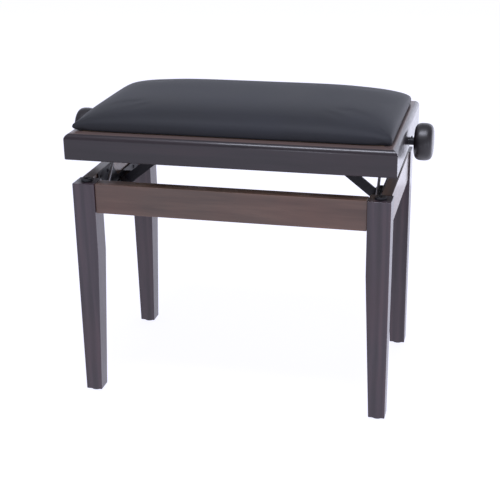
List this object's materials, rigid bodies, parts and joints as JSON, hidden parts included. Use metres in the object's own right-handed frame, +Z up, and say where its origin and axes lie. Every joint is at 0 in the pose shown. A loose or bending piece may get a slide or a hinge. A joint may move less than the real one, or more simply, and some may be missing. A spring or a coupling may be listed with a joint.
{
  "type": "adjustable piano bench",
  "caption": "Height-adjustable piano bench: padded seat on a dark wooden base with tapered legs, raised and lowered by a spindle with a knob at each end.",
  "frame": {"origin": "on the floor under the centre of the bench", "axes": "+X along the seat to the right-hand knob, +Y to the rear, +Z up"},
  "size_m": [0.632, 0.34, 0.517],
  "materials": {
    "stained_wood": "dark walnut stain under semi-gloss lacquer",
    "raw_wood": "unfinished hardwood",
    "plywood": "unfinished plywood",
    "black_vinyl": "black grained vinyl, soft sheen",
    "black_steel": "black powder coat",
    "zinc_steel": "zinc-plated steel",
    "spring_steel": "oiled spring wire",
    "black_rubber": "matt moulded rubber",
    "black_nylon": "moulded nylon",
    "knob_lacquer": "dark lacquered knob"
  },
  "bodies": {
    "base": {"leg_front_left": "stained_wood", "corner_block_front_left": "raw_wood", "leg_bolt_front_left": "zinc_steel", "foot_glide_front_left": "black_nylon", "top_bumper_front_left": "black_rubber", "hold_spring_front_left": "spring_steel", "leg_front_right": "stained_wood", "corner_block_front_right": "raw_wood", "leg_bolt_front_right": "zinc_steel", "foot_glide_front_right": "black_nylon", "top_bumper_front_right": "black_rubber", "hold_spring_front_right": "spring_steel", "leg_rear_left": "stained_wood", "corner_block_rear_left": "raw_wood", "leg_bolt_rear_left": "zinc_steel", "foot_glide_rear_left": "black_nylon", "top_bumper_rear_left": "black_rubber", "hold_spring_rear_left": "spring_steel", "leg_rear_right": "stained_wood", "corner_block_rear_right": "raw_wood", "leg_bolt_rear_right": "zinc_steel", "foot_glide_rear_right": "black_nylon", "top_bumper_rear_right": "black_rubber", "hold_spring_rear_right": "spring_steel", "apron_front": "stained_wood", "apron_rear": "stained_wood", "apron_left": "stained_wood", "apron_right": "stained_wood", "end_plate_left": "black_steel", "strut_pin_left": "zinc_steel", "lift_spring_left": "spring_steel", "end_plate_right": "black_steel", "strut_pin_right": "zinc_steel", "lift_spring_right": "spring_steel"},
    "seat": {"seat_rail_front": "stained_wood", "seat_rail_rear": "stained_wood", "seat_rail_left": "stained_wood", "seat_rail_right": "stained_wood", "seat_panel": "plywood", "seat_cushion": "black_vinyl", "guide_channel": "black_steel", "seat_plate_left": "black_steel", "spindle_bush_left": "black_nylon", "seat_plate_right": "black_steel", "spindle_bush_right": "black_nylon"},
    "spindle_group": {"spindle": "zinc_steel", "knob_left": "knob_lacquer", "knob_collar_left": "black_steel", "collar_screw_left": "zinc_steel", "knob_right": "knob_lacquer", "knob_collar_right": "black_steel", "collar_screw_right": "zinc_steel"},
    "left_strut": {"strut_left": "black_steel"},
    "right_strut": {"strut_right": "black_steel"},
    "left_nut": {"spindle_nut_left": "zinc_steel", "nut_pin_left": "zinc_steel"},
    "right_nut": {"spindle_nut_right": "zinc_steel", "nut_pin_right": "zinc_steel"}
  },
  "joints": [
    {"name": "seat_lift", "type": "slide", "parent": "base", "child": "seat", "axis": [0, 0, 1], "range_m": [-0.0375, 0.032], "deforming": ["hold_spring_front_left", "hold_spring_front_right", "hold_spring_rear_left", "hold_spring_rear_right"]},
    {"name": "spindle_turn", "type": "hinge", "parent": "seat", "child": "spindle_group", "pos_m": [0, 0, 0.444], "axis": [1, 0, 0], "range_deg": [-2064, 1761]},
    {"name": "right_strut_swing", "type": "hinge", "parent": "base", "child": "right_strut", "pos_m": [0.228, 0, 0.3475], "axis": [0, 1, 0], "range_deg": [-17.3, 14.8]},
    {"name": "left_strut_swing", "type": "hinge", "parent": "base", "child": "left_strut", "pos_m": [-0.228, 0, 0.3475], "axis": [0, 1, 0], "range_deg": [-14.8, 17.3]},
    {"name": "right_nut_level", "type": "hinge", "parent": "right_strut", "child": "right_nut", "pos_m": [0.10354, 0, 0.4458], "axis": [0, 1, 0], "range_deg": [-14.8, 17.3]},
    {"name": "left_nut_level", "type": "hinge", "parent": "left_strut", "child": "left_nut", "pos_m": [-0.10354, 0, 0.4458], "axis": [0, 1, 0], "range_deg": [-17.3, 14.8]}
  ],
  "couplings": [
    {"joint": "spindle_turn", "follows": "seat_lift", "rad_per_m": 960},
    {"joint": "right_strut_swing", "follows": "seat_lift", "rad_per_m": 8},
    {"joint": "left_strut_swing", "follows": "seat_lift", "rad_per_m": -8},
    {"joint": "right_nut_level", "follows": "seat_lift", "rad_per_m": -8},
    {"joint": "left_nut_level", "follows": "seat_lift", "rad_per_m": 8}
  ]
}
